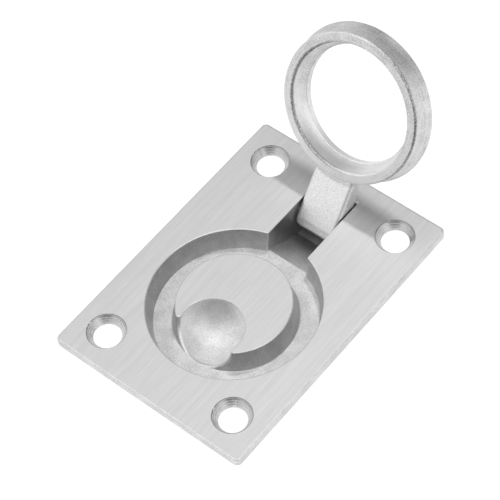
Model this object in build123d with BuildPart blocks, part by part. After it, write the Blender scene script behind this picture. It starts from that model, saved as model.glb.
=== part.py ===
from build123d import *
import math
import os

os.makedirs("parts", exist_ok=True)

# Recessed pull handle: a ring on a short shank folds flush into a round recess of a cast flange.
# The origin is the centre of the four screw holes, on the flange's back face.
# +Z points out of the visible face and +Y points to the end with the hinge. Sizes are in mm.

# Flange and its four screw holes
plate_length = 65.0
plate_width = 46.0
flange_thickness = 2.0
corner_radius = 1.1
outer_edge_round = 0.4
hole_spacing_x = 31.7
hole_spacing_y = 50.6
hole_radius = 2.85
countersink_radius = 4.03
hole_straight_height = 0.25

# Round recess with a flush island in the middle, both with cast draft
recess_centre_y = -5.54
recess_top_radius = 17.45
recess_draft = 1.0
recess_depth = 5.15
island_top_radius = 11.55
island_draft = 1.0
island_foot_round = 0.3

# Finger scoop in the island, a round-bottomed cup that breaks out through the island's wall
scoop_radius = 6.6
scoop_breakout = 1.95
scoop_centre_depth = 1.3
lip_round = 0.6

# Slot for the shank, its sloping floor and the rounded edge that the open shank leans on
slot_width = 9.9
slot_depth = 10.0
slope_lead = 0.21
slope_end_to_pin = 1.96
pin_to_slot_end = 5.56
stop_edge_round = 0.8
slot_corner_round = 1.0
slot_overlap = 1.5
mouth_round = 0.45
inner_rim_chamfer = 0.15

# Walls on the hidden side
cup_wall = 1.7
cup_floor = 1.6
cup_edge_chamfer = 0.9
scoop_wall = 1.5
housing_overlap = 3.0
housing_wall = 2.4
housing_floor = 1.8
housing_end_wall = 2.0
housing_round = 1.2

# Hinge
pin_radius = 1.2
pin_end_chamfer = 0.2
pin_clearance = 0.05
pin_depth = 3.45
ring_reach = 27.1
open_angle = 116.1

# Ring, with its outside flaring out towards the upper face
ring_thickness = 4.8
ring_lower_outer_radius = 15.5
ring_upper_outer_radius = 16.58
ring_outer_bulge = 0.16
ring_lower_inner_radius = 13.43
ring_upper_inner_radius = 12.16
ring_land_height = 1.5
ring_land_step = 0.12
ring_cove_sag = 0.2
ring_upper_outer_chamfer = 0.45
ring_upper_inner_chamfer = 0.2
ring_lower_chamfer = 0.25

# Shank between the ring and the hinge
shank_side_clearance = 0.25
shank_lower_face_to_pin = 2.07
shank_lower_face_angle = 11.7
shank_edge_round = 0.85
shank_heel_round = 2.6
shank_root_radius = 14.0

# How far cuts run on past a face, and the room left and right of an edge that is picked
cut_overlap = 1.0
pick_margin = 1.0

# Places that follow from the sizes above
top_z = flange_thickness
groove_z = top_z - recess_depth
recess_floor_radius = recess_top_radius - recess_draft
island_foot_radius = island_top_radius + island_draft
pin_y = recess_centre_y + ring_reach
pin_z = top_z - pin_depth
slot_z = top_z - slot_depth
slope_start_y = recess_centre_y + recess_floor_radius - slope_lead
slope_end_y = pin_y - slope_end_to_pin
slot_end_y = pin_y + pin_to_slot_end
scoop_y = recess_centre_y - (island_top_radius + scoop_breakout - scoop_radius)
scoop_z = top_z - scoop_centre_depth
cup_bottom_z = groove_z - cup_floor
housing_bottom_z = slot_z - housing_floor
housing_half_width = slot_width / 2 + housing_wall
housing_end_y = slot_end_y + housing_end_wall
shank_half_width = slot_width / 2 - shank_side_clearance

# Directions of the open ring: along the shank to the ring, and out of the ring's upper face
swing = math.radians(open_angle)
to_ring = Vector(0, -math.cos(swing), math.sin(swing))
upper_way = Vector(0, math.sin(swing), math.cos(swing))
pin_point = Vector(0, pin_y, pin_z)
ring_point = pin_point + to_ring * ring_reach

# Plane through the recess axis, with local x along X and local y along Z
recess_plane = Plane(origin=(0, recess_centre_y, 0), x_dir=(1, 0, 0), z_dir=(0, -1, 0))
recess_axis = Axis((0, recess_centre_y, 0), (0, 0, 1))

# Planes of the open ring: a radial one through the ring's axis, and the side view at the pin
radial_plane = Plane(origin=ring_point, x_dir=(1, 0, 0), z_dir=to_ring)
ring_axis = Axis(ring_point, upper_way)
side_plane = Plane(origin=pin_point, x_dir=-to_ring, z_dir=(1, 0, 0))

# Base plate: flange, cup, island, scoop and hinge housing in one casting
with BuildPart() as base_plate:
    with BuildSketch(Plane.XY):
        RectangleRounded(plate_width, plate_length, corner_radius)
    extrude(amount=flange_thickness)
    fillet(base_plate.faces().sort_by(Axis.Z)[-1].edges(), outer_edge_round)

    # Outside of the cup behind the flange
    with BuildSketch(recess_plane) as cup_section:
        with BuildLine():
            Polyline(
                (0, top_z / 2),
                (recess_top_radius + cup_wall, top_z / 2),
                (recess_top_radius + cup_wall, 0),
                (recess_floor_radius + cup_wall, cup_bottom_z),
                (0, cup_bottom_z),
                close=True,
            )
        make_face()
        cup_foot = cup_section.vertices().group_by(Axis.Y)[0].sort_by(Axis.X)[-1]
        chamfer(cup_foot, cup_edge_chamfer)
    revolve(axis=recess_axis)

    # Dome under the finger scoop
    with Locations((0, scoop_y, scoop_z)):
        Sphere(
            scoop_radius + scoop_wall,
            arc_size2=0,
            align=(Align.CENTER, Align.CENTER, Align.MAX),
        )

    # Hinge housing, its underside parallel to the slot's floor
    with BuildSketch(Plane.YZ) as housing_section:
        with BuildLine():
            Polyline(
                (slope_start_y - housing_overlap, top_z / 2),
                (slope_start_y - housing_overlap, cup_bottom_z),
                (slope_start_y, cup_bottom_z),
                (slope_end_y, housing_bottom_z),
                (housing_end_y, housing_bottom_z),
                (housing_end_y, top_z / 2),
                close=True,
            )
        make_face()
    extrude(amount=housing_half_width, both=True)
    housing_end = base_plate.faces().filter_by(Axis.Y).filter_by_position(
        Axis.Y, housing_end_y - 0.01, housing_end_y + 0.01
    )
    end_edges = housing_end.edges().filter_by(Axis.Z)
    under_edges = base_plate.edges().filter_by(Axis.Y).filter_by_position(
        Axis.Z, housing_bottom_z - 0.01, housing_bottom_z + 0.01
    )
    lower_end_edge = housing_end.edges().filter_by(Axis.X).sort_by(Axis.Z)[0]
    fillet(end_edges + under_edges + [lower_end_edge], housing_round)

    # Ring-shaped groove between the island and the recess wall
    with BuildSketch(recess_plane) as groove_section:
        with BuildLine():
            Polyline(
                (island_top_radius, top_z + cut_overlap),
                (island_top_radius, top_z),
                (island_foot_radius, groove_z),
                (recess_floor_radius, groove_z),
                (recess_top_radius, top_z),
                (recess_top_radius, top_z + cut_overlap),
                close=True,
            )
        make_face()
    revolve(axis=recess_axis, mode=Mode.SUBTRACT)

    # Shank slot with its sloping floor and the rounded edge at its far end
    with BuildSketch(Plane.YZ) as slot_section:
        with BuildLine():
            Polyline(
                (slope_start_y - slot_overlap, top_z + cut_overlap),
                (slope_start_y - slot_overlap, groove_z),
                (slope_start_y, groove_z),
                (slope_end_y, slot_z),
                (slot_end_y, slot_z),
                (slot_end_y, top_z - stop_edge_round),
            )
            RadiusArc(
                (slot_end_y, top_z - stop_edge_round),
                (slot_end_y + stop_edge_round, top_z),
                stop_edge_round,
            )
            Polyline(
                (slot_end_y + stop_edge_round, top_z),
                (slot_end_y + stop_edge_round, top_z + cut_overlap),
                (slope_start_y - slot_overlap, top_z + cut_overlap),
            )
        make_face()
        fillet(slot_section.vertices().group_by(Axis.Y)[0], slot_corner_round)
    extrude(amount=slot_width / 2, both=True, mode=Mode.SUBTRACT)

    # Corners where the slot opens into the recess
    near_mouth = base_plate.edges().filter_by_position(
        Axis.Y, slope_start_y - pick_margin, slope_start_y + pick_margin
    )
    mouth_corners = near_mouth.filter_by_position(Axis.Z, groove_z + pick_margin, top_z - pick_margin)
    fillet(mouth_corners, mouth_round)

    # Foot of the island
    groove_floor = base_plate.edges().filter_by_position(Axis.Z, groove_z - 0.01, groove_z + 0.01)
    fillet(groove_floor.filter_by(GeomType.CIRCLE).sort_by(SortBy.RADIUS)[0], island_foot_round)

    # Finger scoop, straight-sided above its round bottom
    with Locations((0, scoop_y, scoop_z)):
        Sphere(
            scoop_radius,
            arc_size2=0,
            align=(Align.CENTER, Align.CENTER, Align.MAX),
            mode=Mode.SUBTRACT,
        )
        Cylinder(
            scoop_radius,
            scoop_centre_depth + cut_overlap,
            align=(Align.CENTER, Align.CENTER, Align.MIN),
            mode=Mode.SUBTRACT,
        )

    # Round lip where the scoop breaks out, and slightly broken rims on the visible face
    scoop_lip = base_plate.edges().filter_by_position(Axis.Z, groove_z, top_z - 0.5)
    scoop_lip = scoop_lip.filter_by_position(Axis.Y, scoop_y - scoop_radius, scoop_y)
    fillet(scoop_lip.sort_by(SortBy.LENGTH)[-1], lip_round)
    rim_reach = recess_top_radius + pick_margin
    top_edges = base_plate.edges().filter_by_position(Axis.Z, top_z - 0.01, top_z + 0.01)
    inner_rims = top_edges.filter_by_position(Axis.X, -rim_reach, rim_reach)
    inner_rims = inner_rims.filter_by_position(Axis.Y, recess_centre_y - rim_reach, slot_end_y)
    chamfer(inner_rims, inner_rim_chamfer)

    # Screw holes, steep countersinks that narrow nearly to the back face
    with Locations((0, 0, hole_straight_height)):
        with GridLocations(hole_spacing_x, hole_spacing_y, 2, 2):
            Hole(hole_radius, depth=2 * hole_straight_height)
            Cone(
                hole_radius,
                countersink_radius,
                top_z - hole_straight_height,
                align=(Align.CENTER, Align.CENTER, Align.MIN),
                mode=Mode.SUBTRACT,
            )

    # Bore for the pressed-in hinge pin, across the housing
    with BuildSketch(Plane.YZ):
        with Locations((pin_y, pin_z)):
            Circle(pin_radius)
    extrude(amount=housing_half_width, both=True, mode=Mode.SUBTRACT)

# Ring and shank in one casting, standing open
with BuildPart() as ring_handle:
    lower_y = pin_depth - ring_thickness
    upper_y = pin_depth

    # Shank, with the round heel that turns in the slot
    face_tilt = math.radians(shank_lower_face_angle)
    face_at_pin = -shank_lower_face_to_pin / math.cos(face_tilt)
    root_x = shank_root_radius - ring_reach
    heel_angle = -face_tilt - math.asin(shank_lower_face_to_pin / pin_depth)
    with BuildSketch(side_plane) as shank_section:
        with BuildLine():
            Polyline(
                (0, upper_y),
                (root_x, upper_y),
                (root_x, face_at_pin - math.tan(face_tilt) * root_x),
                (pin_depth * math.cos(heel_angle), pin_depth * math.sin(heel_angle)),
            )
            RadiusArc(
                (0, upper_y),
                (pin_depth * math.cos(heel_angle), pin_depth * math.sin(heel_angle)),
                pin_depth,
            )
        make_face()
        fillet(shank_section.vertices().sort_by(Axis.X)[-1], shank_heel_round)
    extrude(amount=shank_half_width, both=True)
    flat_faces = ring_handle.faces().filter_by(GeomType.PLANE)
    lower_face = flat_faces.sort_by(Axis(pin_point, upper_way))[0]
    fillet(lower_face.edges().filter_by(Axis.X, reverse=True), shank_edge_round)

    # Ring, its section turned about the ring's own axis
    with BuildSketch(radial_plane) as ring_section:
        with BuildLine():
            lower_inner = (ring_lower_inner_radius, lower_y)
            lower_outer = (ring_lower_outer_radius, lower_y)
            upper_outer = (ring_upper_outer_radius, upper_y)
            upper_inner = (ring_upper_inner_radius, upper_y)
            land_foot = (ring_upper_inner_radius, upper_y - ring_land_height)
            cove_top = (ring_upper_inner_radius + ring_land_step, upper_y - ring_land_height)
            Line(lower_inner, lower_outer)
            SagittaArc(lower_outer, upper_outer, ring_outer_bulge)
            Polyline(upper_outer, upper_inner, land_foot, cove_top)
            SagittaArc(cove_top, lower_inner, ring_cove_sag)
        make_face()
        upper_corners = ring_section.vertices().group_by(Axis.Y)[-1].sort_by(Axis.X)
        lower_corners = ring_section.vertices().group_by(Axis.Y)[0].sort_by(Axis.X)
        chamfer(upper_corners[0], ring_upper_inner_chamfer)
        chamfer([lower_corners[0], lower_corners[-1]], ring_lower_chamfer)
    revolve(axis=ring_axis)
    upper_face = ring_handle.faces().filter_by(GeomType.PLANE).sort_by(Axis(pin_point, upper_way))[-1]
    chamfer(upper_face.outer_wire().edges().filter_by(GeomType.CIRCLE), ring_upper_outer_chamfer)

    # Bore for the hinge pin
    with BuildSketch(side_plane):
        Circle(pin_radius + pin_clearance)
    extrude(amount=shank_half_width, both=True, mode=Mode.SUBTRACT)

# Plain hinge pin, flush with both sides of the housing
with BuildPart() as hinge_pin:
    with BuildSketch(Plane.YZ):
        with Locations((pin_y, pin_z)):
            Circle(pin_radius)
    extrude(amount=housing_half_width, both=True)
    chamfer(hinge_pin.edges(), pin_end_chamfer)

base_plate.part.label = "base_plate"
ring_handle.part.label = "ring_handle"
hinge_pin.part.label = "hinge_pin"
export_step(base_plate.part, "parts/base_plate.step")
export_step(ring_handle.part, "parts/ring_handle.step")
export_step(hinge_pin.part, "parts/hinge_pin.step")
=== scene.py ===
"""Looks of a flush ring pull in stainless steel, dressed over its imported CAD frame."""

import logging
import math
from dataclasses import dataclass
from enum import Enum

import bpy
from mathutils import Matrix, Vector


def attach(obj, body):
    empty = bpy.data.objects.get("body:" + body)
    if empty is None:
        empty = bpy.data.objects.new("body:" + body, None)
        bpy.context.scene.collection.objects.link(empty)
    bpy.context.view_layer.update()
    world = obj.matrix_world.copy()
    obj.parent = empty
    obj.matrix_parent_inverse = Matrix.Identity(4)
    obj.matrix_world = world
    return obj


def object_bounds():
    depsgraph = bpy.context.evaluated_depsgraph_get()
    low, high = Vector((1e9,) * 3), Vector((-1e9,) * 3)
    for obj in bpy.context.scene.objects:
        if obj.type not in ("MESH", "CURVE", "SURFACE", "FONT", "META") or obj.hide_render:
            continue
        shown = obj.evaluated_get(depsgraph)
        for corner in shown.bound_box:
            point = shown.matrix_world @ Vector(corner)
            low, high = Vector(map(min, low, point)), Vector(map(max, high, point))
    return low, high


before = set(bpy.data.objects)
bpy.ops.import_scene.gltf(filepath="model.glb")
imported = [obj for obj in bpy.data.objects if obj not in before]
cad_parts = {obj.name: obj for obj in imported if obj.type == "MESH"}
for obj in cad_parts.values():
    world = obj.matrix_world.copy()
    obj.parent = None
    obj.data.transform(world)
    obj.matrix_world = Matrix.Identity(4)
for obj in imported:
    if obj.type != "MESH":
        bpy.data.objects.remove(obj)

CAD_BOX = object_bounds()
MM = 0.001
WHITE = (1.0, 1.0, 1.0, 1.0)

Tree = bpy.types.NodeTree
Socket = bpy.types.NodeSocket
Colour = tuple[float, float, float, float]
Place = tuple[float, float, float]
Span = tuple[float, float]

log = logging.getLogger("ring_pull")


class Slot(Enum):
    """Names of the record's material slots; no piece here takes its finish from them."""

    PLATE = "brushed_steel"
    RING = "satin_steel"
    PIN = "pin_steel"


class Blend(Enum):
    """Ways to lay one tone over another."""

    OVER = "MIX"
    DARKEN = "MULTIPLY"
    LIFT = "ADD"


def linear(hex_colour: str) -> Colour:
    """Turns an sRGB hex colour into linear light.

    Args:
        hex_colour: colour written as "#rrggbb".

    Returns:
        Red, green, blue and alpha, each from 0 to 1.
    """
    parts = [int(hex_colour[i : i + 2], 16) / 255 for i in (1, 3, 5)]
    red, green, blue = [
        p / 12.92 if p <= 0.04045 else ((p + 0.055) / 1.055) ** 2.4 for p in parts
    ]
    return (red, green, blue, 1.0)


def add_node(
    tree: Tree, kind: str, settings: dict | None = None, inputs: dict | None = None
) -> bpy.types.Node:
    """Adds one node with its settings, values and links.

    Args:
        tree: node tree that gets the node.
        kind: Blender's name of the node type.
        settings: attributes of the node itself.
        inputs: value or output socket for each input, by name or number.

    Returns:
        The new node.
    """
    node = tree.nodes.new(kind)
    for name, value in (settings or {}).items():
        setattr(node, name, value)
    for key, value in (inputs or {}).items():
        if isinstance(value, Socket):
            tree.links.new(value, node.inputs[key])
        else:
            node.inputs[key].default_value = value
    return node


@dataclass(frozen=True)
class BrushedFinish:
    """Stainless steel rubbed one way with an abrasive belt.

    The eye sees hair-fine lines and a sheen that is wide across them.
    """

    bright: str = "#e0e0e0"
    dull: str = "#d3d3d3"
    roughness: float = 0.48
    smear: float = 0.5
    # The real lines are 0.02 to 0.05 mm wide, too fine for the picture, so they are drawn coarser
    line_width: float = 0.10 * MM
    line_length: float = 6.0 * MM
    line_depth: float = 0.0012 * MM
    band_width: float = 0.9 * MM
    band_length: float = 26.0 * MM
    band_share: float = 0.4
    streak_span: Span = (0.3, 0.7)


@dataclass(frozen=True)
class BlastedFinish:
    """Cast stainless steel blasted with fine glass beads.

    The eye sees an even satin with a faint sparkle of dents.
    """

    bright: str = "#f2f2f2"
    dull: str = "#d4d4d4"
    # Painted shade on the hollows' steep walls, with more on the slot's walls
    wall_shade: str = "#e2e2e2"
    slot_wall_shade: str = "#d6d6d6"
    roughness: float = 0.47
    # Beads of about 0.1 mm leave dents too fine for the picture, so they are drawn coarser
    grain: float = 0.20 * MM
    grain_depth: float = 0.014 * MM
    cloud: float = 3.0 * MM
    cloud_share: float = 0.35
    speckle_span: Span = (0.36, 0.64)


@dataclass(frozen=True)
class MilledFinish:
    """Steel cut by a ball-nosed tool, then blasted.

    The eye sees it paler than the blasted floor, with painted shade in its upper nook.
    """

    paler: str = "#646464"
    # Painted shade for the scoop's upper nook
    nook_shade: str = "#d2d2d2"
    roughness: float = 0.64
    grain_depth: float = 0.030 * MM


@dataclass(frozen=True)
class TurnedFinish:
    """Steel cut by a countersinking tool.

    The eye sees it bright at the hole, with painted shade darkening it towards the rim and a
    painted shadow line at the rim's edge, and fine dark scores round it.
    """

    colour: str = "#e8e8e8"
    # Painted shade towards the rim; the ridges' metal also takes it as its darker grain tone
    rim: str = "#c6c6c6"
    score: str = "#d0d0d0"
    score_span: Span = (-0.2, 1.0)
    pitch: float = 0.295 * MM
    # Painted shadow line along the rim's edge
    rim_shadow: str = "#4c4c4c"
    rim_shadow_width: float = 0.30 * MM
    roughness: float = 0.26
    grain: float = 0.15 * MM


@dataclass(frozen=True)
class TumbledFinish:
    """Cast steel tumbled with stones.

    The eye sees a satin, faintly streaked round the ring; painted light makes it paler low inside
    it and on the shank, and a painted dark reflection lines its corners.
    """

    bright: str = "#f0f0f0"
    dull: str = "#c4c4c4"
    # Painted light: the shank takes a paler copy of the ring's metal
    lit_shank_bright: str = "#fdfdfd"
    lit_shank_dull: str = "#e0e0e0"
    # Painted light lifts the lowest part of the ring's inside
    inside_light: str = "#666666"
    # Painted dark reflection along the ring's corners
    corner: str = "#7c7c7c"
    roughness: float = 0.44
    # The skin's pits are about 0.1 mm wide, and are drawn coarser to show in the picture
    grain: float = 0.22 * MM
    grain_depth: float = 0.022 * MM
    grain_share: float = 0.55
    cloud: float = 2.2 * MM
    cloud_share: float = 0.45
    streak_width: float = 0.35 * MM
    streak_length: float = 5.0 * MM
    skin_span: Span = (0.38, 0.57)
    shank_span: Span = (0.36, 0.62)
    pit_span: Span = (0.62, 0.42)
    pit_share: float = 0.35


@dataclass(frozen=True)
class DrawnFinish:
    """Steel wire pulled through a die.

    The eye sees it smooth and glossy, with faint lines along it.
    """

    bright: str = "#d6d6d6"
    dull: str = "#bebebe"
    roughness: float = 0.25
    # Scratches of the drawing die are finer still, so they are drawn coarser
    line_width: float = 0.08 * MM
    line_length: float = 4.0 * MM


def start_metal(name: str) -> tuple[bpy.types.Material, Tree, bpy.types.Node]:
    """Starts a metal material.

    Args:
        name: what the metal is and how its surface was made.

    Returns:
        The material, its node tree and its shader node.
    """
    material = bpy.data.materials.new(name)
    material.use_nodes = True
    tree = material.node_tree
    shader = tree.nodes["Principled BSDF"]
    shader.inputs["Metallic"].default_value = 1.0
    return material, tree, shader


def draw_brush_lines(tree: Tree, place: Socket, finish: BrushedFinish) -> tuple[Socket, Socket]:
    """Draws hair-fine lines that run along Y.

    Args:
        tree: node tree that gets the nodes.
        place: object coordinates.
        finish: sizes of the lines.

    Returns:
        Height of the lines from 0 to 1, and colour of the bright and dull streaks.
    """
    lines, bands = (
        add_node(
            tree,
            "ShaderNodeTexNoise",
            inputs={
                "Vector": add_node(
                    tree,
                    "ShaderNodeMapping",
                    inputs={"Vector": place, "Scale": (1 / width, 1 / length, 0.0)},
                ).outputs[0],
                "Scale": 1.0,
                "Detail": 2.0,
            },
        ).outputs[0]
        for width, length in (
            (finish.line_width, finish.line_length),
            (finish.band_width, finish.band_length),
        )
    )
    both = add_node(
        tree,
        "ShaderNodeMix",
        {"data_type": "FLOAT"},
        {0: finish.band_share, 2: lines, 3: bands},
    ).outputs[0]
    streak = add_node(
        tree,
        "ShaderNodeMapRange",
        {"interpolation_type": "SMOOTHSTEP"},
        {0: both, 1: finish.streak_span[0], 2: finish.streak_span[1]},
    ).outputs[0]
    colour = add_node(
        tree,
        "ShaderNodeMix",
        {"data_type": "RGBA"},
        {0: streak, 6: linear(finish.dull), 7: linear(finish.bright)},
    ).outputs[2]
    return lines, colour


def draw_bead_dents(tree: Tree, place: Socket, finish: BlastedFinish) -> tuple[Socket, Socket]:
    """Draws the dents of bead blasting.

    Args:
        tree: node tree that gets the nodes.
        place: object coordinates.
        finish: sizes of the dents.

    Returns:
        Height of the dents from 0 to 1, and colour of the speckle.
    """
    dents, clouds = (
        add_node(
            tree,
            "ShaderNodeTexNoise",
            inputs={"Vector": place, "Scale": 1 / size, "Detail": detail},
        ).outputs[0]
        for size, detail in ((finish.grain, 1.0), (finish.cloud, 2.0))
    )
    both = add_node(
        tree,
        "ShaderNodeMix",
        {"data_type": "FLOAT"},
        {0: finish.cloud_share, 2: dents, 3: clouds},
    ).outputs[0]
    speckle = add_node(
        tree,
        "ShaderNodeMapRange",
        {"interpolation_type": "SMOOTHSTEP"},
        {0: both, 1: finish.speckle_span[0], 2: finish.speckle_span[1]},
    ).outputs[0]
    colour = add_node(
        tree,
        "ShaderNodeMix",
        {"data_type": "RGBA"},
        {0: speckle, 6: linear(finish.dull), 7: linear(finish.bright)},
    ).outputs[2]
    return dents, colour


def dress_node(name: str, material: bpy.types.Material) -> None:
    """Gives a CAD node its finish.

    Args:
        name: the node.
        material: the finish.
    """
    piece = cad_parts[name]
    piece.data.materials.clear()
    piece.data.materials.append(material)
    log.info("%s dressed in %s, %d faces", name, material.name, len(piece.data.polygons))


@dataclass(frozen=True)
class ScrewHoles:
    """The four countersunk screw holes, alike and mirrored about the plate's middle."""

    across: float = 15.85 * MM
    along: float = 25.30 * MM
    hole_radius: float = 2.85 * MM
    rim_radius: float = 4.03 * MM
    foot_height: float = 0.25 * MM
    face_height: float = 2.0 * MM


@dataclass(frozen=True)
class Regions:
    """Masks of the plate's regions, each 1 in its region and 0 outside, and one distance."""

    on_face: Socket
    in_cone: Socket
    in_scoop: Socket
    in_slot: Socket
    on_wall: Socket
    off_hole: Socket


@dataclass
class BasePlate:
    """Cast plate with recess, island, scoop and four countersunk holes."""

    half_width: float = 23.0 * MM
    half_length: float = 32.5 * MM
    holes: ScrewHoles = ScrewHoles()
    slot_start: float = 10.7 * MM
    slot_fade: float = 3.0 * MM
    scoop_centre: Place = (0.0, -12.44 * MM, 0.7 * MM)
    scoop_radius: float = 6.6 * MM
    scoop_nook: Place = (-3.4 * MM, -7.8 * MM, -1.0 * MM)
    nook_reach: Span = (6.6 * MM, 1.0 * MM)
    brushed: BrushedFinish = BrushedFinish()
    blasted: BlastedFinish = BlastedFinish()
    milled: MilledFinish = MilledFinish()
    turned: TurnedFinish = TurnedFinish()
    # Each region fades in over a span: how far its limit is passed, or how upright a wall stands
    face_span: Span = (-0.04 * MM, -0.01 * MM)
    cone_span: Span = (0.3 * MM, 0.1 * MM)
    scoop_span: Span = (0.10 * MM, 0.02 * MM)
    edge_span: Span = (-1.5 * MM, -2.5 * MM)
    wall_span: Span = (0.60, 0.25)

    def off_hole(self, tree: Tree, place: Socket) -> Socket:
        """Measures how far a point is from the axis of the nearest screw hole.

        Args:
            tree: node tree that gets the nodes.
            place: object coordinates.

        Returns:
            The distance in metres.
        """
        corner = add_node(
            tree, "ShaderNodeVectorMath", {"operation": "ABSOLUTE"}, {0: place}
        ).outputs[0]
        flat = add_node(
            tree, "ShaderNodeVectorMath", {"operation": "MULTIPLY"}, {0: corner, 1: (1.0, 1.0, 0.0)}
        ).outputs[0]
        return add_node(
            tree,
            "ShaderNodeVectorMath",
            {"operation": "DISTANCE"},
            {0: flat, 1: (self.holes.across, self.holes.along, 0.0)},
        ).outputs["Value"]

    def wall_mask(self, tree: Tree, place: Socket, normal: Socket) -> Socket:
        """Finds the steep walls of the hollows, which get painted shade, but not the flange's outer
        edge.

        Args:
            tree: node tree that gets the nodes.
            place: object coordinates.
            normal: the surface's own direction.

        Returns:
            1 on the walls and 0 away from them.
        """
        upward = add_node(tree, "ShaderNodeSeparateXYZ", inputs={0: normal}).outputs[2]
        mask = add_node(
            tree,
            "ShaderNodeMapRange",
            inputs={0: upward, 1: self.wall_span[0], 2: self.wall_span[1]},
        ).outputs[0]
        corner = add_node(
            tree, "ShaderNodeVectorMath", {"operation": "ABSOLUTE"}, {0: place}
        ).outputs[0]
        corner = add_node(tree, "ShaderNodeSeparateXYZ", inputs={0: corner})
        for side, edge in ((0, self.half_width), (1, self.half_length)):
            inside = add_node(
                tree,
                "ShaderNodeMapRange",
                inputs={
                    0: corner.outputs[side],
                    1: edge + self.edge_span[0],
                    2: edge + self.edge_span[1],
                },
            ).outputs[0]
            mask = add_node(
                tree, "ShaderNodeMath", {"operation": "MULTIPLY"}, {0: mask, 1: inside}
            ).outputs[0]
        return mask

    def regions(self, tree: Tree, place: Socket, normal: Socket) -> Regions:
        """Finds the regions of the plate that have a finish of their own.

        Args:
            tree: node tree that gets the nodes.
            place: object coordinates.
            normal: the surface's own direction.

        Returns:
            The masks, and the distance from the nearest hole's axis.
        """
        parts = add_node(tree, "ShaderNodeSeparateXYZ", inputs={0: place}).outputs
        off_hole = self.off_hole(tree, place)
        off_scoop = add_node(
            tree,
            "ShaderNodeVectorMath",
            {"operation": "DISTANCE"},
            {0: place, 1: self.scoop_centre},
        ).outputs["Value"]
        on_face, in_cone, in_scoop, in_slot = (
            add_node(
                tree, "ShaderNodeMapRange", inputs={0: way, 1: limit + span[0], 2: limit + span[1]}
            ).outputs[0]
            for way, limit, span in (
                (parts[2], self.holes.face_height, self.face_span),
                (off_hole, self.holes.rim_radius, self.cone_span),
                (off_scoop, self.scoop_radius, self.scoop_span),
                (parts[1], self.slot_start, (0.0, self.slot_fade)),
            )
        )
        on_wall = self.wall_mask(tree, place, normal)
        return Regions(on_face, in_cone, in_scoop, in_slot, on_wall, off_hole)

    def cone_colour(self, tree: Tree, off_hole: Socket) -> Socket:
        """Draws a countersink's tones, from the bright foot through painted shade to a painted
        shadow line at its rim.

        Args:
            tree: node tree that gets the nodes.
            off_hole: distance from the hole's axis.

        Returns:
            The colour.
        """
        look, holes = self.turned, self.holes
        toward_rim = add_node(
            tree,
            "ShaderNodeMapRange",
            inputs={0: off_hole, 1: holes.hole_radius, 2: holes.rim_radius},
        ).outputs[0]
        # The tool leaves dark scores round the cone, one for each turn of its feed
        turns = add_node(
            tree,
            "ShaderNodeMath",
            {"operation": "MULTIPLY"},
            {0: off_hole, 1: 2 * math.pi / look.pitch},
        ).outputs[0]
        wave = add_node(tree, "ShaderNodeMath", {"operation": "SINE"}, {0: turns}).outputs[0]
        scored, rim_shadowed = (
            add_node(
                tree,
                "ShaderNodeMapRange",
                {"interpolation_type": "SMOOTHSTEP"},
                {0: way, 1: start, 2: end},
            ).outputs[0]
            for way, start, end in (
                (wave, *look.score_span),
                (off_hole, holes.rim_radius - look.rim_shadow_width, holes.rim_radius),
            )
        )
        colour = linear(look.colour)
        for blend, mask, tone in (
            # Painted shade darkens the cone towards its rim
            (Blend.OVER, toward_rim, look.rim),
            (Blend.DARKEN, scored, look.score),
            # Painted shadow line at the rim's edge
            (Blend.DARKEN, rim_shadowed, look.rim_shadow),
        ):
            colour = add_node(
                tree,
                "ShaderNodeMix",
                {"data_type": "RGBA", "blend_type": blend.value},
                {0: mask, 6: colour, 7: linear(tone)},
            ).outputs[2]
        return colour

    def colour(
        self, tree: Tree, place: Socket, where: Regions, brushed: Socket, blasted: Socket
    ) -> Socket:
        """Lays the tones of the plate's regions over one another, with painted shade on the walls
        and in the scoop's nook.

        Args:
            tree: node tree that gets the nodes.
            place: object coordinates.
            where: masks of the regions.
            brushed: colour of the brushed face.
            blasted: colour of the blasted hollows.

        Returns:
            The colour.
        """
        off_nook = add_node(
            tree, "ShaderNodeVectorMath", {"operation": "DISTANCE"}, {0: place, 1: self.scoop_nook}
        ).outputs["Value"]
        near_nook = add_node(
            tree,
            "ShaderNodeMapRange",
            {"interpolation_type": "SMOOTHSTEP"},
            {0: off_nook, 1: self.nook_reach[0], 2: self.nook_reach[1]},
        ).outputs[0]
        shaded_nook, slot_wall_shade = (
            add_node(
                tree, "ShaderNodeMath", {"operation": "MULTIPLY"}, {0: one, 1: other}
            ).outputs[0]
            for one, other in ((near_nook, where.in_scoop), (where.in_slot, where.on_wall))
        )
        colour = blasted
        for blend, mask, tone in (
            # Painted shade darkens the steep walls of the hollows
            (Blend.DARKEN, where.on_wall, linear(self.blasted.wall_shade)),
            (Blend.OVER, where.in_scoop, blasted),
            (Blend.LIFT, where.in_scoop, linear(self.milled.paler)),
            # Painted shade in the scoop's nook
            (Blend.DARKEN, shaded_nook, linear(self.milled.nook_shade)),
            # Painted shade, deeper, on the slot's walls
            (Blend.DARKEN, slot_wall_shade, linear(self.blasted.slot_wall_shade)),
            (Blend.OVER, where.in_cone, self.cone_colour(tree, where.off_hole)),
            (Blend.OVER, where.on_face, brushed),
        ):
            colour = add_node(
                tree,
                "ShaderNodeMix",
                {
                    "data_type": "RGBA",
                    "blend_type": blend.value,
                    "clamp_result": blend is Blend.LIFT,
                },
                {0: mask, 6: colour, 7: tone},
            ).outputs[2]
        return colour

    def sheen_way(self, tree: Tree, place: Socket, where: Regions) -> Socket:
        """Turns the sheen across the marks that each tool left.

        Args:
            tree: node tree that gets the nodes.
            place: object coordinates.
            where: masks of the regions.

        Returns:
            The direction in which the sheen is wide.
        """
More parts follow.
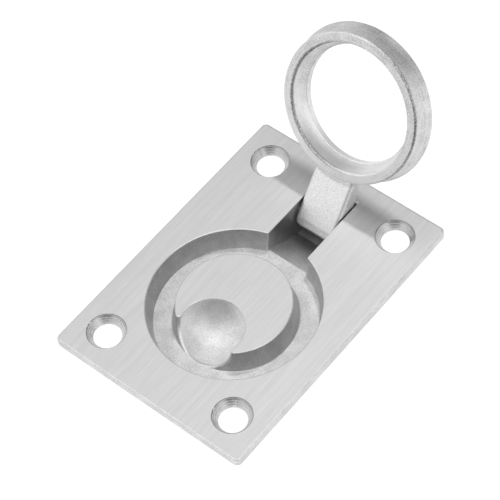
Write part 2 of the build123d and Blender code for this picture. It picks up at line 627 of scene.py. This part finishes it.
        # Blasting leaves no marks that run one way, so each spot there has a way of its own
        scatter = add_node(
            tree, "ShaderNodeTexWhiteNoise", {"noise_dimensions": "3D"}, {0: place}
        ).outputs["Color"]
        wide = add_node(
            tree,
            "ShaderNodeVectorMath",
            {"operation": "SUBTRACT"},
            {0: scatter, 1: (0.5, 0.5, 0.5)},
        ).outputs[0]
        side = add_node(
            tree, "ShaderNodeVectorMath", {"operation": "SIGN"}, {0: place}
        ).outputs[0]
        hole_axis = add_node(
            tree,
            "ShaderNodeVectorMath",
            {"operation": "MULTIPLY"},
            {0: side, 1: (self.holes.across, self.holes.along, 0.0)},
        ).outputs[0]
        # The countersinks and the scoop are cut in rings, so the sheen is wide away from their axes
        for mask, axis in ((where.in_cone, hole_axis), (where.in_scoop, self.scoop_centre)):
            outward = add_node(
                tree, "ShaderNodeVectorMath", {"operation": "SUBTRACT"}, {0: place, 1: axis}
            ).outputs[0]
            outward = add_node(
                tree,
                "ShaderNodeVectorMath",
                {"operation": "MULTIPLY"},
                {0: outward, 1: (1 / MM, 1 / MM, 0.0)},
            ).outputs[0]
            wide = add_node(
                tree, "ShaderNodeMix", {"data_type": "VECTOR"}, {0: mask, 4: wide, 5: outward}
            ).outputs[1]
        # The brush lines run along the plate, so on the face the sheen is wide across it
        return add_node(
            tree,
            "ShaderNodeMix",
            {"data_type": "VECTOR"},
            {0: where.on_face, 4: wide, 5: (1.0, 0.0, 0.0)},
        ).outputs[1]

    def relief(self, tree: Tree, where: Regions, lines: Socket, dents: Socket) -> Socket:
        """Works out how far the brush lines and the dents stand out.

        Args:
            tree: node tree that gets the nodes.
            where: masks of the regions.
            lines: height of the brush lines from 0 to 1.
            dents: height of the dents from 0 to 1.

        Returns:
            The height in metres.
        """
        depth = add_node(
            tree,
            "ShaderNodeMix",
            {"data_type": "FLOAT"},
            {0: where.in_scoop, 2: self.blasted.grain_depth, 3: self.milled.grain_depth},
        ).outputs[0]
        dents, lines = (
            add_node(
                tree, "ShaderNodeMath", {"operation": "MULTIPLY"}, {0: share, 1: height}
            ).outputs[0]
            for share, height in ((dents, depth), (lines, self.brushed.line_depth))
        )
        return add_node(
            tree, "ShaderNodeMix", {"data_type": "FLOAT"}, {0: where.on_face, 2: dents, 3: lines}
        ).outputs[0]

    def finish(self) -> bpy.types.Material:
        """Makes the plate's metal: brushed face, blasted hollows and turned countersinks, with
        painted shade on the hollows' walls, in the scoop's nook and towards the countersinks' rims.

        Returns:
            The material.
        """
        material, tree, shader = start_metal("stainless steel, cast, face brushed")
        read = add_node(tree, "ShaderNodeTexCoord")
        place = read.outputs["Object"]
        where = self.regions(tree, place, read.outputs["Normal"])
        lines, brushed = draw_brush_lines(tree, place, self.brushed)
        dents, blasted = draw_bead_dents(tree, place, self.blasted)
        colour = self.colour(tree, place, where, brushed, blasted)
        rough = self.blasted.roughness
        for mask, look in (
            (where.in_cone, self.turned),
            (where.in_scoop, self.milled),
            (where.on_face, self.brushed),
        ):
            rough = add_node(
                tree,
                "ShaderNodeMix",
                {"data_type": "FLOAT"},
                {0: mask, 2: rough, 3: look.roughness},
            ).outputs[0]
        relief = self.relief(tree, where, lines, dents)
        bump = add_node(
            tree, "ShaderNodeBump", inputs={"Strength": 1.0, "Distance": 1.0, "Height": relief}
        ).outputs[0]
        shader.inputs["Anisotropic"].default_value = self.brushed.smear
        tree.links.new(colour, shader.inputs["Base Color"])
        tree.links.new(rough, shader.inputs["Roughness"])
        tree.links.new(self.sheen_way(tree, place, where), shader.inputs["Tangent"])
        tree.links.new(bump, shader.inputs["Normal"])
        return material

    def dress(self) -> None:
        """Puts the metal on the plate's CAD node."""
        dress_node("base_plate", self.finish())


@dataclass
class ToolMarks:
    """Fine ridges that the countersinking tool left round each screw hole."""

    holes: ScrewHoles = ScrewHoles()
    ridges: int = 4
    # Real ridges are a few hundredths of a millimetre wide, and are made coarser to show
    ridge_radius: float = 0.08 * MM
    sunk: float = 0.06 * MM
    hoop_steps: int = 96
    ridge_sides: int = 8
    turned: TurnedFinish = TurnedFinish()

    def ridge_tree(self) -> Tree:
        """Builds the node tree that lays the ridges up the cone and repeats them at each hole.

        Returns:
            The node tree.
        """
        tree = bpy.data.node_groups.new("ridges up a cone", "GeometryNodeTree")
        for name, kind in (
            ("Ridges", "NodeSocketInt"),
            ("Ridge radius", "NodeSocketFloat"),
            ("Hole radius", "NodeSocketFloat"),
            ("Rim radius", "NodeSocketFloat"),
            ("Foot height", "NodeSocketFloat"),
            ("Face height", "NodeSocketFloat"),
            ("Spacing across", "NodeSocketFloat"),
            ("Spacing along", "NodeSocketFloat"),
            ("Metal", "NodeSocketMaterial"),
        ):
            tree.interface.new_socket(name, in_out="INPUT", socket_type=kind)
        tree.interface.new_socket("Geometry", in_out="OUTPUT", socket_type="NodeSocketGeometry")
        given = add_node(tree, "NodeGroupInput").outputs
        step = add_node(
            tree,
            "ShaderNodeMath",
            {"operation": "ADD"},
            {0: add_node(tree, "GeometryNodeInputIndex").outputs[0], 1: 0.5},
        ).outputs[0]
        share = add_node(
            tree, "ShaderNodeMath", {"operation": "DIVIDE"}, {0: step, 1: given["Ridges"]}
        ).outputs[0]
        radius, height = (
            add_node(
                tree, "ShaderNodeMapRange", inputs={0: share, 3: given[low], 4: given[high]}
            ).outputs[0]
            for low, high in (("Hole radius", "Rim radius"), ("Foot height", "Face height"))
        )
        place = add_node(tree, "ShaderNodeCombineXYZ", inputs={2: height}).outputs[0]
        size = add_node(
            tree, "ShaderNodeCombineXYZ", inputs={0: radius, 1: radius, 2: 1.0}
        ).outputs[0]
        points = add_node(
            tree, "GeometryNodePoints", inputs={"Count": given["Ridges"], "Position": place}
        ).outputs[0]
        hoop, section = (
            add_node(
                tree,
                "GeometryNodeCurvePrimitiveCircle",
                inputs={"Resolution": steps, "Radius": reach},
            ).outputs[0]
            for steps, reach in ((self.hoop_steps, 1.0), (self.ridge_sides, given["Ridge radius"]))
        )
        hoops = add_node(
            tree,
            "GeometryNodeInstanceOnPoints",
            inputs={"Points": points, "Instance": hoop, "Scale": size},
        ).outputs[0]
        hoops = add_node(tree, "GeometryNodeRealizeInstances", inputs={0: hoops}).outputs[0]
        ridges = add_node(
            tree, "GeometryNodeCurveToMesh", inputs={"Curve": hoops, "Profile Curve": section}
        ).outputs[0]
        # A grid of two by two points stands for the four screw holes
        centres = add_node(
            tree,
            "GeometryNodeMeshGrid",
            inputs={
                "Size X": given["Spacing across"],
                "Size Y": given["Spacing along"],
                "Vertices X": 2,
                "Vertices Y": 2,
            },
        ).outputs[0]
        every = add_node(
            tree, "GeometryNodeInstanceOnPoints", inputs={"Points": centres, "Instance": ridges}
        ).outputs[0]
        every = add_node(tree, "GeometryNodeRealizeInstances", inputs={0: every}).outputs[0]
        every = add_node(
            tree,
            "GeometryNodeSetMaterial",
            inputs={"Geometry": every, "Material": given["Metal"]},
        ).outputs[0]
        add_node(tree, "NodeGroupOutput", inputs={0: every})
        return tree

    def metal(self) -> bpy.types.Material:
        """Makes the ridges' metal, bright where the tool rubbed and broken up by a fine grain.

        Returns:
            The material.
        """
        material, tree, shader = start_metal("stainless steel, turned")
        place = add_node(tree, "ShaderNodeTexCoord").outputs["Object"]
        grain = add_node(
            tree,
            "ShaderNodeTexNoise",
            inputs={"Vector": place, "Scale": 1 / self.turned.grain, "Detail": 1.0},
        ).outputs[0]
        colour = add_node(
            tree,
            "ShaderNodeMix",
            {"data_type": "RGBA"},
            {0: grain, 6: linear(self.turned.rim), 7: linear(self.turned.colour)},
        ).outputs[2]
        tree.links.new(colour, shader.inputs["Base Color"])
        shader.inputs["Roughness"].default_value = self.turned.roughness
        return material

    def build(self) -> bpy.types.Object:
        """Makes the ridges of all four holes as one plain mesh.

        Returns:
            The piece, riding on the base.
        """
        tree = self.ridge_tree()
        start = bpy.data.objects.new("ridge start", bpy.data.meshes.new("ridge start"))
        bpy.context.scene.collection.objects.link(start)
        modifier = start.modifiers.new("ridges", "NODES")
        modifier.node_group = tree
        values = {
            "Ridges": self.ridges,
            "Ridge radius": self.ridge_radius,
            "Hole radius": self.holes.hole_radius + self.sunk,
            "Rim radius": self.holes.rim_radius + self.sunk,
            "Foot height": self.holes.foot_height,
            "Face height": self.holes.face_height,
            "Spacing across": 2 * self.holes.across,
            "Spacing along": 2 * self.holes.along,
            "Metal": self.metal(),
        }
        for item in tree.interface.items_tree:
            if item.name in values:
                modifier[item.identifier] = values[item.name]
        start.update_tag()
        graph = bpy.context.evaluated_depsgraph_get()
        mesh = bpy.data.meshes.new_from_object(start.evaluated_get(graph), depsgraph=graph)
        bpy.data.objects.remove(start)
        mesh.name = "tool_marks"
        mesh.polygons.foreach_set("use_smooth", [True] * len(mesh.polygons))
        piece = bpy.data.objects.new("tool_marks", mesh)
        bpy.context.scene.collection.objects.link(piece)
        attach(piece, "base")
        log.info("%s laid in the screw holes, %d faces", piece.name, len(mesh.polygons))
        return piece


@dataclass(frozen=True)
class ShadedCorner:
    """One corner of the ring's lower face with a painted dark reflection along a part of it.

    The two ends are cosines of the angle from the shaded side: the painted reflection starts at the
    first and is full at the second.
    """

    radius: float
    width: float
    ends: Span


@dataclass
class RingHandle:
    """Cast ring with its shank, as it stands in the open pose."""

    centre: Place = (0.0, 33.48 * MM, 22.89 * MM)
    up_the_shank: Place = (0.0, 0.4399, 0.8980)
    along_axis: Place = (0.0, 0.8980, -0.4399)
    lower_height: float = -1.35 * MM
    inner_corner: ShadedCorner = ShadedCorner(13.56 * MM, 0.25 * MM, (0.1, -0.6))
    outer_corner: ShadedCorner = ShadedCorner(15.38 * MM, 0.17 * MM, (0.2, 0.8))
    shade_turn: float = -math.radians(75)
    shank_radius: float = 16.9 * MM
    shank_fade: float = 0.4 * MM
    # Spans past a corner's radius or the lower face over which the skin changes
    side_span: Span = (0.1 * MM, 0.4 * MM)
    lower_span: Span = (0.6 * MM, 0.3 * MM)
    # Cosines of the angle from the ring's far end, which is -1 at the shank
    shank_end_span: Span = (0.3, -0.9)
    lowest_span: Span = (-0.2, -0.95)
    # Painted light by the shank end, and painted shade on the ring's outside there
    shank_end_light_and_shade: float = 0.45
    outside_shade: float = -0.5
    tumbled: TumbledFinish = TumbledFinish()

    def measure(self, tree: Tree, place: Socket) -> tuple[Socket, Socket, Socket]:
        """Measures a point in the ring's own round frame.

        Args:
            tree: node tree that gets the nodes.
            place: object coordinates.

        Returns:
            Distance from the ring's axis, height along it, and angle round it.
        """
        off_centre = add_node(
            tree, "ShaderNodeVectorMath", {"operation": "SUBTRACT"}, {0: place, 1: self.centre}
        ).outputs[0]
        across, up, height = (
            add_node(
                tree, "ShaderNodeVectorMath", {"operation": "DOT_PRODUCT"}, {0: off_centre, 1: way}
            ).outputs["Value"]
            for way in ((1.0, 0.0, 0.0), self.up_the_shank, self.along_axis)
        )
        flat = add_node(tree, "ShaderNodeCombineXYZ", inputs={0: across, 1: up}).outputs[0]
        radius = add_node(
            tree, "ShaderNodeVectorMath", {"operation": "LENGTH"}, {0: flat}
        ).outputs["Value"]
        angle = add_node(
            tree, "ShaderNodeMath", {"operation": "ARCTAN2"}, {0: across, 1: up}
        ).outputs[0]
        return radius, height, angle

    def corner_shade_mask(
        self, tree: Tree, radius: Socket, height: Socket, angle: Socket, dents: Socket
    ) -> Socket:
        """Finds where a painted dark reflection lines the two corners of the ring's lower face.

        Args:
            tree: node tree that gets the nodes.
            radius: distance from the ring's axis.
            height: height along the axis.
            angle: angle round the axis.
            dents: height of the dents from 0 to 1, which break the corners up.

        Returns:
            1 on the corners and 0 away from them.
        """
        look = self.tumbled
        turned = add_node(
            tree, "ShaderNodeMath", {"operation": "ADD"}, {0: angle, 1: self.shade_turn}
        ).outputs[0]
        leaning = add_node(tree, "ShaderNodeMath", {"operation": "COSINE"}, {0: turned}).outputs[0]
        masks = []
        for corner in (self.inner_corner, self.outer_corner):
            away = add_node(
                tree, "ShaderNodeMath", {"operation": "SUBTRACT"}, {0: radius, 1: corner.radius}
            ).outputs[0]
            away = add_node(tree, "ShaderNodeMath", {"operation": "ABSOLUTE"}, {0: away}).outputs[0]
            near = add_node(
                tree,
                "ShaderNodeMapRange",
                {"interpolation_type": "SMOOTHSTEP"},
                {0: away, 1: 2 * corner.width, 2: 0.5 * corner.width},
            ).outputs[0]
            shaded = add_node(
                tree,
                "ShaderNodeMapRange",
                inputs={0: leaning, 1: corner.ends[0], 2: corner.ends[1]},
            ).outputs[0]
            masks.append(
                add_node(
                    tree, "ShaderNodeMath", {"operation": "MULTIPLY"}, {0: near, 1: shaded}
                ).outputs[0]
            )
        mask = add_node(
            tree, "ShaderNodeMath", {"operation": "MAXIMUM"}, {0: masks[0], 1: masks[1]}
        ).outputs[0]
        low = add_node(
            tree,
            "ShaderNodeMapRange",
            inputs={
                0: height,
                1: self.lower_height + self.lower_span[0],
                2: self.lower_height + self.lower_span[1],
            },
        ).outputs[0]
        broken = add_node(
            tree,
            "ShaderNodeMapRange",
            inputs={0: dents, 1: look.pit_span[0], 2: look.pit_span[1], 3: look.pit_share},
        ).outputs[0]
        for part in (low, broken):
            mask = add_node(
                tree, "ShaderNodeMath", {"operation": "MULTIPLY"}, {0: mask, 1: part}
            ).outputs[0]
        return mask

    def draw_skin(
        self, tree: Tree, place: Socket, radius: Socket, height: Socket, angle: Socket
    ) -> tuple[Socket, Socket]:
        """Draws the tumbled skin: streaks round the ring, clouds and fine dents.

        Args:
            tree: node tree that gets the nodes.
            place: object coordinates.
            radius: distance from the ring's axis.
            height: height along the axis.
            angle: angle round the axis.

        Returns:
            Brightness of the skin from 0 to 1, and height of the dents from 0 to 1.
        """
        look = self.tumbled
        arc = add_node(
            tree,
            "ShaderNodeMath",
            {"operation": "MULTIPLY"},
            {0: angle, 1: self.outer_corner.radius / look.streak_length},
        ).outputs[0]
        level, depth = (
            add_node(
                tree, "ShaderNodeMath", {"operation": "DIVIDE"}, {0: way, 1: look.streak_width}
            ).outputs[0]
            for way in (height, radius)
        )
        round_way = add_node(
            tree, "ShaderNodeCombineXYZ", inputs={0: arc, 1: level, 2: depth}
        ).outputs[0]
        streaks, clouds, dents = (
            add_node(
                tree,
                "ShaderNodeTexNoise",
                inputs={"Vector": way, "Scale": scale, "Detail": detail},
            ).outputs[0]
            for way, scale, detail in (
                (round_way, 1.0, 3.0),
                (place, 1 / look.cloud, 3.0),
                (place, 1 / look.grain, 2.0),
            )
        )
        skin = streaks
        for share, pattern in ((look.cloud_share, clouds), (look.grain_share, dents)):
            skin = add_node(
                tree, "ShaderNodeMix", {"data_type": "FLOAT"}, {0: share, 2: skin, 3: pattern}
            ).outputs[0]
        skin = add_node(
            tree,
            "ShaderNodeMapRange",
            inputs={0: skin, 1: look.skin_span[0], 2: look.skin_span[1]},
        ).outputs[0]
        return skin, dents

    def painted_light_masks(self, tree: Tree, radius: Socket, angle: Socket) -> tuple[Socket, Socket]:
        """Finds how much painted light and shade change the skin by the shank end, and where the
        ring's inside is lowest.

        Args:
            tree: node tree that gets the nodes.
            radius: distance from the ring's axis.
            angle: angle round the axis.

        Returns:
            What the painted light and shade add to the skin, and 1 at the bottom of the ring's
            inside.
        """
        turn = add_node(tree, "ShaderNodeMath", {"operation": "COSINE"}, {0: angle}).outputs[0]
        inner, outer = self.inner_corner.radius, self.outer_corner.radius
        start, end = self.side_span
        # Painted light brightens the end by the shank, and painted shade darkens the ring's outside
        # there
        near_shank_end, inside_lit_outside_shaded, lowest, inside = (
            add_node(
                tree,
                "ShaderNodeMapRange",
                inputs={0: way, 1: span[0], 2: span[1], 3: values[0], 4: values[1]},
            ).outputs[0]
            for way, span, values in (
                (turn, self.shank_end_span, (0.0, self.shank_end_light_and_shade)),
                (radius, (outer + start, outer + end), (1.0, self.outside_shade)),
                (turn, self.lowest_span, (0.0, 1.0)),
                (radius, (inner - start, inner - end), (0.0, 1.0)),
            )
        )
        shank_end_light_and_shade, lit_low_inside = (
            add_node(
                tree, "ShaderNodeMath", {"operation": "MULTIPLY"}, {0: one, 1: other}
            ).outputs[0]
            for one, other in ((near_shank_end, inside_lit_outside_shaded), (lowest, inside))
        )
        return shank_end_light_and_shade, lit_low_inside

    def finish(self) -> bpy.types.Material:
        """Makes the ring's metal: tumbled skin with painted light by the shank end, low inside and
        on the shank, and painted shade on its outside by the shank end and along two corners.

        Returns:
            The material.
        """
        material, tree, shader = start_metal("stainless steel, cast, tumbled")
        look = self.tumbled
        place = add_node(tree, "ShaderNodeTexCoord").outputs["Object"]
        radius, height, angle = self.measure(tree, place)
        skin, dents = self.draw_skin(tree, place, radius, height, angle)
        shank_end_light_and_shade, lit_low_inside = self.painted_light_masks(tree, radius, angle)
        # Painted light and shade by the shank end
        skin = add_node(
            tree, "ShaderNodeMath", {"operation": "ADD", "use_clamp": True}, {0: skin, 1: shank_end_light_and_shade}
        ).outputs[0]
        on_shank, shank_skin = (
            add_node(tree, "ShaderNodeMapRange", inputs={0: way, 1: start, 2: end}).outputs[0]
            for way, start, end in (
                (radius, self.shank_radius, self.shank_radius + self.shank_fade),
                (dents, *look.shank_span),
            )
        )
        skin = add_node(
            tree, "ShaderNodeMix", {"data_type": "FLOAT"}, {0: on_shank, 2: skin, 3: shank_skin}
        ).outputs[0]
        # Painted light: the shank's tones are paler copies of the ring's
        dull, bright = (
            add_node(
                tree,
                "ShaderNodeMix",
                {"data_type": "RGBA"},
                {0: on_shank, 6: linear(ring), 7: linear(shank)},
            ).outputs[2]
            for ring, shank in ((look.dull, look.lit_shank_dull), (look.bright, look.lit_shank_bright))
        )
        colour = add_node(
            tree, "ShaderNodeMix", {"data_type": "RGBA"}, {0: skin, 6: dull, 7: bright}
        ).outputs[2]
        on_shaded_corner = self.corner_shade_mask(tree, radius, height, angle, dents)
        for blend, mask, tone in (
            # Painted light low inside the ring
            (Blend.LIFT, lit_low_inside, look.inside_light),
            # Painted dark reflection along two corners
            (Blend.OVER, on_shaded_corner, look.corner),
        ):
            colour = add_node(
                tree,
                "ShaderNodeMix",
                {
                    "data_type": "RGBA",
                    "blend_type": blend.value,
                    "clamp_result": blend is Blend.LIFT,
                },
                {0: mask, 6: colour, 7: linear(tone)},
            ).outputs[2]
        relief = add_node(
            tree, "ShaderNodeMath", {"operation": "MULTIPLY"}, {0: dents, 1: look.grain_depth}
        ).outputs[0]
        bump = add_node(
            tree, "ShaderNodeBump", inputs={"Strength": 1.0, "Distance": 1.0, "Height": relief}
        ).outputs[0]
        tree.links.new(colour, shader.inputs["Base Color"])
        shader.inputs["Roughness"].default_value = look.roughness
        tree.links.new(bump, shader.inputs["Normal"])
        return material

    def dress(self) -> None:
        """Puts the metal on the ring's CAD node."""
        dress_node("ring_handle", self.finish())


@dataclass
class HingePin:
    """Plain pin across the hinge housing."""

    drawn: DrawnFinish = DrawnFinish()

    def finish(self) -> bpy.types.Material:
        """Makes the pin's metal, with the die's lines along it.

        Returns:
            The material.
        """
        material, tree, shader = start_metal("stainless steel, drawn wire")
        look = self.drawn
        place = add_node(tree, "ShaderNodeTexCoord").outputs["Object"]
        along = add_node(
            tree,
            "ShaderNodeMapping",
            inputs={
                "Vector": place,
                "Scale": (1 / look.line_length, 1 / look.line_width, 1 / look.line_width),
            },
        ).outputs[0]
        lines = add_node(
            tree, "ShaderNodeTexNoise", inputs={"Vector": along, "Scale": 1.0, "Detail": 2.0}
        ).outputs[0]
        colour = add_node(
            tree,
            "ShaderNodeMix",
            {"data_type": "RGBA"},
            {0: lines, 6: linear(look.dull), 7: linear(look.bright)},
        ).outputs[2]
        tree.links.new(colour, shader.inputs["Base Color"])
        shader.inputs["Roughness"].default_value = look.roughness
        return material

    def dress(self) -> None:
        """Puts the metal on the pin's CAD node."""
        dress_node("hinge_pin", self.finish())


@dataclass
class Studio:
    """Pale floor, soft light from all round and the camera of the picture."""

    lens: float = 160.54
    clip: Span = (0.01, 20.0)
    camera_place: Place = (175.53 * MM, -169.25 * MM, 362.96 * MM)
    camera_right: Place = (0.7722, 0.6301, -0.0811)
    camera_up: Place = (-0.4846, 0.6667, 0.5663)
    lamp_place: Place = (-0.11, 0.99, 2.20)
    lamp_aim: Place = (0.0, 0.0, 0.01)
    lamp_size: float = 0.16
    lamp_watts: float = 6.8
    # Brightness of the room's parts, and the spans of the view's direction over which they fade in
    top_level: float = 1.12
    front_level: float = 1.18
    front_span: Span = (-0.1, -0.8)
    back_level: float = 0.10
    back_span: Span = (0.0, 0.62)
    low_back_level: float = 0.76
    high_span: Span = (0.1, 0.6)
    right_level: float = 1.25
    right_span: Span = (0.1, 0.7)
    low_level: float = 0.85
    low_span: Span = (0.1, -0.1)
    dark_side: Place = (0.62, -0.76, 0.0)
    dark_level: float = 0.12
    dark_span: Span = (0.72, 0.97)
    floor_drop: float = 0.05 * MM
    floor_radius: float = 0.14
    floor_steps: int = 96
    paper_grey: float = 0.8
    # The paper that is seen or mirrored glows, so it comes out white and keeps a faint shadow
    shown_grey: float = 0.2
    shown_level: float = 0.94
    mirrored_level: float = 0.75

    def camera(self) -> None:
        """Places the camera of the picture and makes it the scene's camera."""
        data = bpy.data.cameras.new("picture camera")
        data.lens = self.lens
        data.clip_start, data.clip_end = self.clip
        eye = bpy.data.objects.new("picture camera", data)
        right = Vector(self.camera_right).normalized()
        up = Vector(self.camera_up)
        back = right.cross(up).normalized()
        up = back.cross(right)
        turn = Matrix((right, up, back)).transposed().to_4x4()
        eye.matrix_world = Matrix.Translation(Vector(self.camera_place)) @ turn
        bpy.context.scene.collection.objects.link(eye)
        bpy.context.scene.camera = eye

    def lamp(self) -> None:
        """Hangs a square soft lamp high behind the handle, which throws its soft shadows."""
        data = bpy.data.lights.new("key softbox, overhead", "AREA")
        data.size = self.lamp_size
        data.energy = self.lamp_watts
        lamp = bpy.data.objects.new("key softbox, overhead", data)
        lamp.location = self.lamp_place
        lamp.rotation_mode = "QUATERNION"
        beam = Vector(self.lamp_aim) - Vector(self.lamp_place)
        lamp.rotation_quaternion = beam.to_track_quat("-Z", "Y")
        bpy.context.scene.collection.objects.link(lamp)

    def world(self) -> None:
        """Makes the white room round the handle, dimmer at the back and dark at the front right."""
        world = bpy.data.worlds.new("white studio")
        world.use_nodes = True
        tree = world.node_tree
        background = tree.nodes["Background"]
        background.inputs["Color"].default_value = WHITE
        way = add_node(tree, "ShaderNodeTexCoord").outputs["Generated"]
        across, along, upward = add_node(tree, "ShaderNodeSeparateXYZ", inputs={0: way}).outputs
        to_dark = add_node(
            tree,
            "ShaderNodeVectorMath",
            {"operation": "DOT_PRODUCT"},
            {0: way, 1: tuple(Vector(self.dark_side).normalized())},
        ).outputs["Value"]
        front, back, right, low, dark, high = (
            add_node(
                tree,
                "ShaderNodeMapRange",
                {"interpolation_type": "SMOOTHSTEP"},
                {0: part, 1: span[0], 2: span[1], 3: levels[0], 4: levels[1]},
            ).outputs[0]
            for part, span, levels in (
                (along, self.front_span, (self.top_level, self.front_level)),
                (along, self.back_span, (1.0, self.back_level / self.top_level)),
                (across, self.right_span, (1.0, self.right_level)),
                (upward, self.low_span, (1.0, self.low_level)),
                (to_dark, self.dark_span, (1.0, self.dark_level)),
                (upward, self.high_span, (0.0, 1.0)),
            )
        )
        back = add_node(
            tree,
            "ShaderNodeMix",
            {"data_type": "FLOAT"},
            {0: high, 2: self.low_back_level, 3: back},
        ).outputs[0]
        room = front
        for level in (back, right, low, dark):
            room = add_node(
                tree, "ShaderNodeMath", {"operation": "MULTIPLY"}, {0: room, 1: level}
            ).outputs[0]
        path = add_node(tree, "ShaderNodeLightPath")
        seen = add_node(
            tree,
            "ShaderNodeMath",
            {"operation": "MAXIMUM"},
            {0: path.outputs["Is Camera Ray"], 1: path.outputs["Is Transmission Ray"]},
        ).outputs[0]
        strength = add_node(
            tree, "ShaderNodeMix", {"data_type": "FLOAT"}, {0: seen, 2: room, 3: 1.0}
        ).outputs[0]
        tree.links.new(strength, background.inputs["Strength"])
        bpy.context.scene.world = world

    def paper(self) -> bpy.types.Material:
        """Makes the floor's white paper.

        Returns:
            The material.
        """
        material = bpy.data.materials.new("white paper floor")
        material.use_nodes = True
        tree = material.node_tree
        tree.nodes.clear()
        path = add_node(tree, "ShaderNodeLightPath")
        mirrored = add_node(
            tree,
            "ShaderNodeMath",
            {"operation": "MAXIMUM"},
            {0: path.outputs["Is Transmission Ray"], 1: path.outputs["Is Glossy Ray"]},
        ).outputs[0]
        seen = add_node(
            tree,
            "ShaderNodeMath",
            {"operation": "MAXIMUM"},
            {0: mirrored, 1: path.outputs["Is Camera Ray"]},
        ).outputs[0]
        level = add_node(
            tree,
            "ShaderNodeMix",
            {"data_type": "FLOAT"},
            {0: mirrored, 2: self.shown_level, 3: self.mirrored_level},
        ).outputs[0]
        plain, pale = (
            add_node(tree, "ShaderNodeBsdfDiffuse", inputs={"Color": (grey, grey, grey, 1.0)})
            for grey in (self.paper_grey, self.shown_grey)
        )
        glow = add_node(tree, "ShaderNodeEmission", inputs={"Color": WHITE, "Strength": level})
        shown = add_node(
            tree, "ShaderNodeAddShader", inputs={0: pale.outputs[0], 1: glow.outputs[0]}
        )
        choice = add_node(
            tree,
            "ShaderNodeMixShader",
            inputs={0: seen, 1: plain.outputs[0], 2: shown.outputs[0]},
        )
        add_node(tree, "ShaderNodeOutputMaterial", inputs={"Surface": choice.outputs[0]})
        return material

    def floor(self) -> None:
        """Lays a round white sheet under the lowest point of the handle."""
        low = CAD_BOX[0].z - self.floor_drop
        reach, steps = self.floor_radius, self.floor_steps
        turns = [2 * math.pi * i / steps for i in range(steps)]
        rim = [(reach * math.cos(turn), reach * math.sin(turn), low) for turn in turns]
        mesh = bpy.data.meshes.new("floor")
        mesh.from_pydata(rim, [], [tuple(range(steps))])
        mesh.materials.append(self.paper())
        sheet = bpy.data.objects.new("floor", mesh)
        bpy.context.scene.collection.objects.link(sheet)

    def set_up(self) -> None:
        """Builds the whole studio."""
        bpy.context.scene.view_settings.view_transform = "Standard"
        self.camera()
        self.world()
        self.floor()
        self.lamp()


def main() -> None:
    """Builds every piece in order."""
    logging.basicConfig(level=logging.INFO, format="%(name)s: %(message)s")
    for piece in (BasePlate(), RingHandle(), HingePin()):
        piece.dress()
    ToolMarks().build()
    Studio().set_up()


if __name__ == "__main__":
    main()
